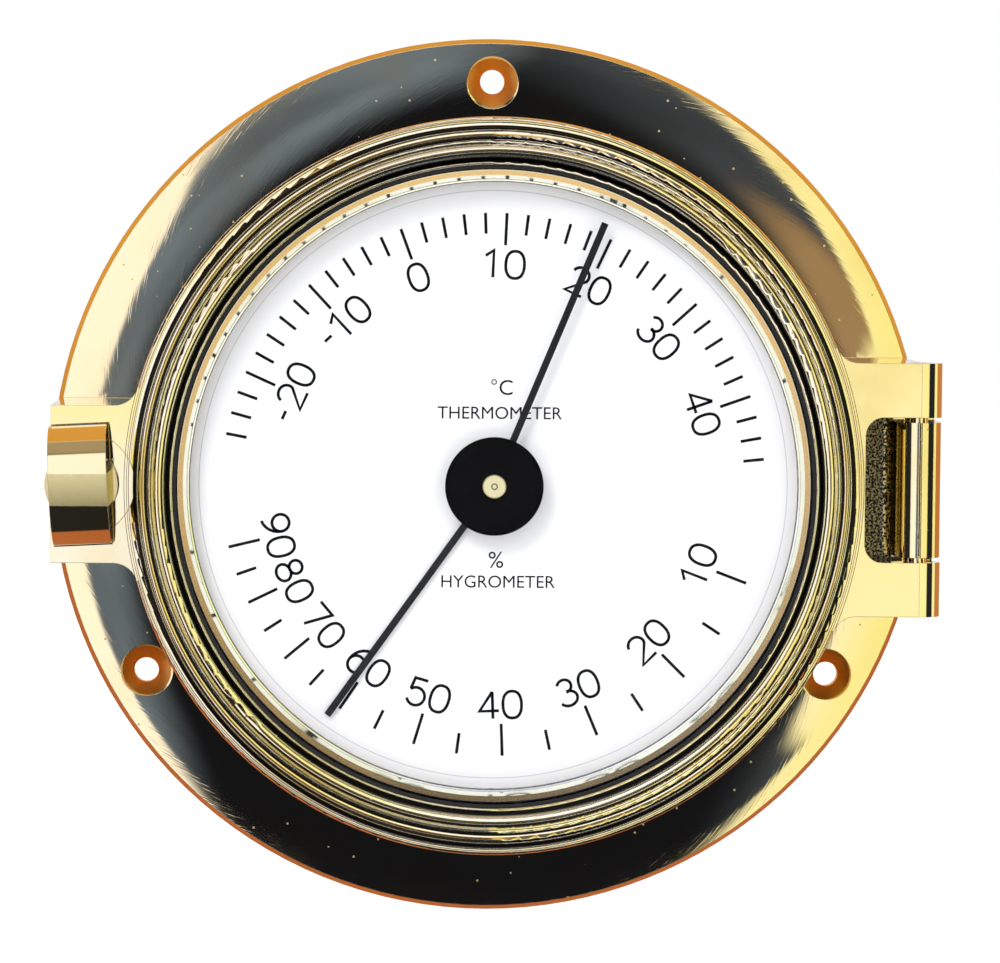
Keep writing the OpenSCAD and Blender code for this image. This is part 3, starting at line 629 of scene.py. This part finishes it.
pointer_black = (0.005, 0.005, 0.006)
pointer_paint, tree, shader = finish("pointer_paint", pointer_black, 0.30, specular_ior_level=0.3)
bump(tree, shader, use_group(tree, patches, scale=700.0, low=0.3, high=0.7).outputs[0], 0.1, 0.03 * mm)

enamel, tree, shader = finish("dial_enamel", (0.90, 0.905, 0.925), 0.45)
tint = use_group(tree, patches, scale=35.0, low=0.35, high=0.75).outputs[0]
colour = blend_colours(tree, tint, (0.905, 0.910, 0.930, 1), (0.885, 0.890, 0.915, 1))
# A thin grey ring of painted shadow, where the front ring's shadow edge falls on the dial.
shadow_line_r = 48.9 * mm
shadow_line_grey = (0.42, 0.43, 0.45, 1)
painted_shadow_line = use_group(tree, grooves, radius=shadow_line_r, width=0.16 * mm).outputs[0]
colour = blend_colours(tree, maths(tree, "MULTIPLY", painted_shadow_line, 0.6), colour, shadow_line_grey)
tree.links.new(colour, shader.inputs["Base Color"])

ink, tree, shader = finish("dial_ink", (0.004, 0.004, 0.005), 0.6, specular_ior_level=0.1)
tint = use_group(tree, patches, scale=1200.0, low=0.35, high=0.75).outputs[0]
colour = blend_colours(tree, tint, (0.003, 0.003, 0.004, 1), (0.007, 0.007, 0.008, 1))
tree.links.new(colour, shader.inputs["Base Color"])
print("steel, rubber, plastic, paint, enamel and ink ready")

# %% [markdown]
# ### Glass
# Clear glass bends light, and a lamp's light can't find its way through such a surface in a
# reasonable time. So for shadow rays the pane is simply see-through. The pane is flat and thin, so
# it bends little: a low index keeps it from greying the black hub behind it.

# %% Glass
pane, tree, shader = finish("clear_glass", (1, 1, 1), 0.0, ior=1.1, transmission_weight=1.0,
                            specular_ior_level=0.08)
through = add(tree, "BsdfTransparent")
for_lamps = add(tree, "MixShader", {
    0: add(tree, "LightPath").outputs["Is Shadow Ray"], 1: shader.outputs[0], 2: through.outputs[0]})
tree.links.new(for_lamps.outputs[0], tree.nodes["Material Output"].inputs["Surface"])
print("glass ready")

# %% [markdown]
# ## Give each part its finish
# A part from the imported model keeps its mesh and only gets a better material. A finish could be
# chosen part by part in the loop, but a table shows at once what is made of what.

# %% Assign the finishes
finishes = {
    flange_brass: ["case_body"],
    polished: ["bezel_frame"],
    button_brass: ["turn_button"],
    turned_brass: ["button_collar", "hinge_pin", "latch_shaft", "latch_dog",
                   "centre_post", "post_nut", "middle_collet", "upper_collet"],
    ring_brass: ["glass_retaining_ring"],
    cap_brass: ["post_cap"],
    bronze: ["keeper_clip", "keeper_screw", "humidity_coil"],
    steel: ["carrier_screws", "dial_screws", "post_washer", "bimetal_coil", "wave_washer",
            "dog_screw", "retaining_clip"],
    rubber: ["case_gasket", "glass_gasket"],
    plastic: ["dial_carrier"],
    hub_paint: ["hub_cover_disc"],
    pointer_paint: ["hygrometer_pointer", "thermometer_pointer"],
    enamel: ["dial_plate"],
    pane: ["glass"],
}
for material, names in finishes.items():
    for name in names:
        parts[name].data.materials.clear()
        parts[name].data.materials.append(material)
left_over = set(parts) - {name for names in finishes.values() for name in names}
print("parts with no finish:", sorted(left_over))

# %% [markdown]
# ## The dial's print
# The scales are printed on the dial. A picture could be laid on it, but thin shapes stay sharp at
# any distance. Each stroke is a flat ribbon of ink: a line of points, widened on both sides. The
# numerals are drawn the way a draughtsman's stencil does, from straight strokes and arcs of one
# width.

# %% Ribbons of ink
ink_t = 0.03 * mm
stroke_w = 0.50 * mm
least_mitre = 0.55


def arc(cx, cy, rx, ry, start, end, squareness=2.0):
    """Points on an arc, in degrees. A squareness above 2 fills out the corners."""
    count = max(4, int(abs(end - start) / 12))
    points = []
    for i in range(count + 1):
        angle = math.radians(start + (end - start) * i / count)
        right = math.cos(angle)
        up = math.sin(angle)
        points.append((cx + rx * math.copysign(abs(right) ** (2 / squareness), right),
                       cy + ry * math.copysign(abs(up) ** (2 / squareness), up)))
    return points


def ribbon(sheet, points, width, closed=False):
    """Adds a flat band along points, given as (x, z) on the dial, to a bmesh."""
    count = len(points)
    rows = []
    for i, (x, z) in enumerate(points):
        before = points[(i - 1) % count] if closed or i > 0 else points[i]
        after = points[(i + 1) % count] if closed or i < count - 1 else points[i]
        to = (Vector((x, z)) - Vector(before)).normalized()
        on = (Vector(after) - Vector((x, z))).normalized()
        along = (to + on).normalized() if (to + on).length > 0.1 else (on if on.length else to)
        reach = width / 2 / max(least_mitre, along.dot(on if on.length else to))
        out = Vector((-along.y, along.x)) * reach
        rows.append([sheet.verts.new((x + side * out.x, -dial_front - lift, z + side * out.y))
                     for side in (-1, 1) for lift in (0, ink_t)])
    steps = count if closed else count - 1
    for i in range(steps):
        here = rows[i]
        ahead = rows[(i + 1) % count]
        for corner, next_corner in ((1, 3), (3, 2), (2, 0), (0, 1)):
            sheet.faces.new((here[corner], here[next_corner], ahead[next_corner], ahead[corner]))
    if not closed:
        sheet.faces.new((rows[0][0], rows[0][2], rows[0][3], rows[0][1]))
        sheet.faces.new((rows[-1][1], rows[-1][3], rows[-1][2], rows[-1][0]))


def piece_from(name, sheet, material, body):
    """Turns a bmesh into a piece that rides on a body."""
    bmesh.ops.recalc_face_normals(sheet, faces=sheet.faces)
    mesh = bpy.data.meshes.new(name)
    sheet.to_mesh(mesh)
    sheet.free()
    mesh.materials.append(material)
    made = bpy.data.objects.new(name, mesh)
    scene.collection.objects.link(made)
    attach(made, body)
    return made


print("ribbon helper ready")

# %% [markdown]
# ### The numerals
# A font's numerals could be used, but the dial's round, even ones are closer to a stencil's. Each is
# a list of strokes in a box 3.1 mm wide and 4.5 mm high about its own centre. A 9 is a 6 turned
# upside down, so it is made from it.

# %% Stencil numerals
half_w, half_h = 1.55, 2.25
six = [arc(0, -0.82, 1.42, 1.43, 90, 450), arc(1.45, -0.75, 2.87, 3.0, 180, 98)]
STROKES = {
    "0": [arc(0, 0, half_w, half_h, 0, 360, 2.35)],
    "1": [[(-1.25, 1.3), (0.1, half_h), (0.1, -half_h)]],
    "2": [arc(0, 0.93, 1.42, 1.32, 165, -25) + [(-1.5, -half_h), (1.55, -half_h)]],
    "3": [arc(-0.05, 1.15, 1.2, 1.1, 155, -90), arc(-0.05, -1.02, 1.5, 1.23, 90, -160)],
    "4": [[(0.62, half_h), (-1.6, -0.95), (1.65, -0.95)], [(0.62, half_h), (0.62, -half_h)]],
    "5": [[(1.25, half_h), (-0.95, half_h), (-1.2, 0.25)], arc(-0.05, -0.75, 1.5, 1.5, 140, -155)],
    "6": six,
    "7": [[(-1.5, half_h), (1.5, half_h), (-0.5, -half_h)]],
    "8": [arc(0, 1.17, 1.12, 1.08, 90, 450), arc(0, -1.05, 1.42, 1.2, 90, 450)],
    "9": [[(-x, -y) for x, y in stroke] for stroke in six],
    "-": [[(-0.75, -0.2), (0.75, -0.2)]],
}
ADVANCE = {"-": 2.9, "1": 3.5}
usual_advance = 3.9


def write(sheet, text, radius, angle, outward):
    """Writes a number across the radius at an angle. Its top points outward or to the centre."""
    widths = [ADVANCE.get(letter, usual_advance) for letter in text]
    place = -sum(widths) / 2
    away = Vector((math.cos(math.radians(angle)), math.sin(math.radians(angle))))
    up = away * (1 if outward else -1)
    right = Vector((up.y, -up.x))
    centre = away * radius
    for letter, width in zip(text, widths):
        for stroke in STROKES[letter]:
            points = [centre + right * (place + width / 2 + x) * mm + up * y * mm for x, y in stroke]
            closed = (points[0] - points[-1]).length < 0.01 * mm
            if closed:
                points = points[:-1]
            ribbon(sheet, [tuple(point) for point in points], stroke_w, closed)
        place += width


print("numerals:", " ".join(STROKES))

# %% [markdown]
# ### The two scales
# Temperature is even round the dial. Humidity isn't: the coil answers less as the air gets damper,
# so its marks close up towards 90 %. Each mark could have its own angle, but a curve of second
# degree gives them all from three numbers.

# %% Print the scales
tick_outer = 45.2 * mm
tick_inner = 41.75 * mm
long_tick_inner = 39.85 * mm
number_r = 36.7 * mm
coldest, warmest = -26, 46
coldest_angle = 169.5
angle_per_degree = 2.272
driest, dampest = 10, 90
zero_angle = 364.75
angle_per_cent = 2.637
closing_up = 0.00817


def temperature_angle(degrees):
    """Where a temperature is on the dial, from 3 o'clock."""
    return coldest_angle - angle_per_degree * (degrees - coldest)


def humidity_angle(percent):
    """Where a humidity is on the dial, from 3 o'clock."""
    return zero_angle - angle_per_cent * percent + closing_up * percent ** 2


def tick(sheet, angle, inner):
    """One mark of a scale."""
    right = math.cos(math.radians(angle))
    up = math.sin(math.radians(angle))
    ribbon(sheet, [(inner * right, inner * up), (tick_outer * right, tick_outer * up)], stroke_w)


scales = bmesh.new()
for degrees in range(coldest, warmest + 1, 2):
    tick(scales, temperature_angle(degrees), tick_inner if degrees % 10 else long_tick_inner)
for degrees in range(-20, 41, 10):
    write(scales, str(degrees), number_r, temperature_angle(degrees), outward=True)
for percent in range(driest, dampest + 1, 5):
    tick(scales, humidity_angle(percent), tick_inner if percent % 10 else long_tick_inner)
for percent in range(driest, dampest + 1, 10):
    write(scales, str(percent), number_r, humidity_angle(percent), outward=False)
scales = piece_from("dial_scales", scales, ink, "case")
print("scales:", len(scales.data.polygons), "faces")

# %% [markdown]
# ### The small legends
# The units and the plain names of the two instruments are set in Blender's own font. They could be
# drawn as strokes too, but letters this small need a real typeface to look printed.

# %% Print the legends
def legend(name, text, size, x, z):
    """A centred line of print, lying on the dial."""
    data = bpy.data.curves.new(name, "FONT")
    data.body = text
    data.size = size
    data.align_x = "CENTER"
    data.align_y = "CENTER"
    data.extrude = ink_t / 2
    data.resolution_u = 4
    made = bpy.data.objects.new(name, data)
    made.location = (x, -dial_front - ink_t / 2, z)
    made.rotation_euler = (math.pi / 2, 0, 0)
    data.materials.append(ink)
    scene.collection.objects.link(made)
    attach(made, "case")


legend_size = 2.95 * mm
legend("celsius_mark", "°C", 3.6 * mm, 1.2 * mm, 16.1 * mm)
legend("thermometer_legend", "THERMOMETER", legend_size, 0.9 * mm, 11.9 * mm)
legend("per_cent_mark", "%", 3.9 * mm, 0.5 * mm, -12.6 * mm)
legend("hygrometer_legend", "HYGROMETER", legend_size, 0.8 * mm, -16.2 * mm)
print("legends printed")
